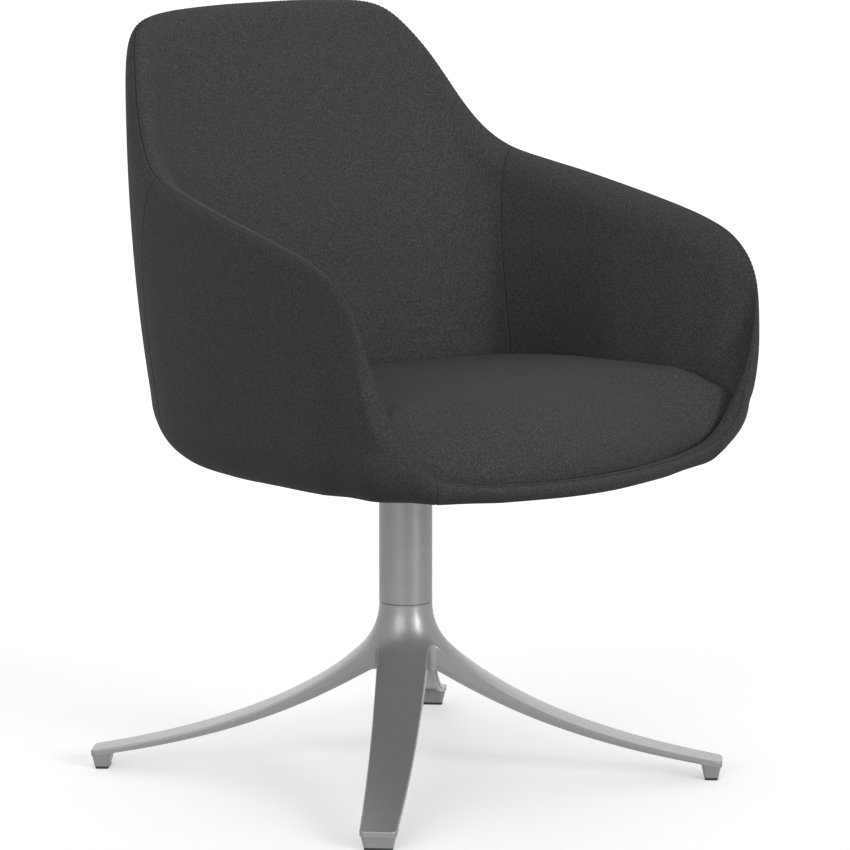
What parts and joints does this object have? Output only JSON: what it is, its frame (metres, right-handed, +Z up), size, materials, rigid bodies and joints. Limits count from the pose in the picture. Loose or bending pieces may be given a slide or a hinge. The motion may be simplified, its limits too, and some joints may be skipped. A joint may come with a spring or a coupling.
{
  "type": "swivel lounge chair",
  "caption": "Upholstered tub lounge chair with a winged back and sloping arms that swivels on a column and a cast star base.",
  "frame": {"origin": "on the floor, on the swivel axis of the column", "axes": "+Z up, the sitter faces -Y, +X to the sitter's left"},
  "size_m": [0.592, 0.5974, 0.8569],
  "materials": {
    "cast_aluminium": "satin polished casting",
    "column_metal": "satin tube",
    "glide_black": "moulded glide",
    "zinc_steel": "zinc plated",
    "bright_steel": "turned steel",
    "acetal": "turned plastic",
    "plate_black": "black powder coat",
    "plywood": "raw moulded plywood",
    "grey_fabric": "fine charcoal wool felt"
  },
  "bodies": {
    "base": {"star_base": "cast_aluminium", "glide_pad_1": "glide_black", "glide_pad_2": "glide_black", "glide_pad_3": "glide_black", "glide_pad_4": "glide_black", "glide_screws": "zinc_steel", "column_tube": "column_metal", "column_plug": "bright_steel", "column_washer": "zinc_steel", "column_bolt": "zinc_steel", "lower_spacer": "bright_steel", "lower_bush": "acetal", "upper_spacer": "bright_steel", "upper_bush": "acetal", "bearing_lower_race": "bright_steel"},
    "bearing": {"ball_cage": "acetal", "bearing_balls": "bright_steel"},
    "seat": {"spindle": "bright_steel", "bearing_upper_race": "bright_steel", "retaining_ring": "zinc_steel", "retaining_washer": "zinc_steel", "mounting_plate": "plate_black", "plate_washers": "zinc_steel", "plate_bolts": "zinc_steel", "tee_nuts": "zinc_steel", "mounting_board": "plywood", "inner_shell": "plywood", "back_pad": "grey_fabric", "arm_pad_left": "grey_fabric", "arm_pad_right": "grey_fabric", "front_pad": "grey_fabric", "seat_cushion": "grey_fabric"}
  },
  "joints": [
    {"name": "seat_swivel", "type": "hinge", "parent": "base", "child": "seat", "pos_m": [0, 0, 0.34], "axis": [0, 0, 1], "continuous": true},
    {"name": "cage_roll", "type": "hinge", "parent": "base", "child": "bearing", "pos_m": [0, 0, 0.335], "axis": [0, 0, 1], "continuous": true}
  ],
  "couplings": [
    {"joint": "cage_roll", "follows": "seat_swivel", "ratio": 0.5}
  ]
}
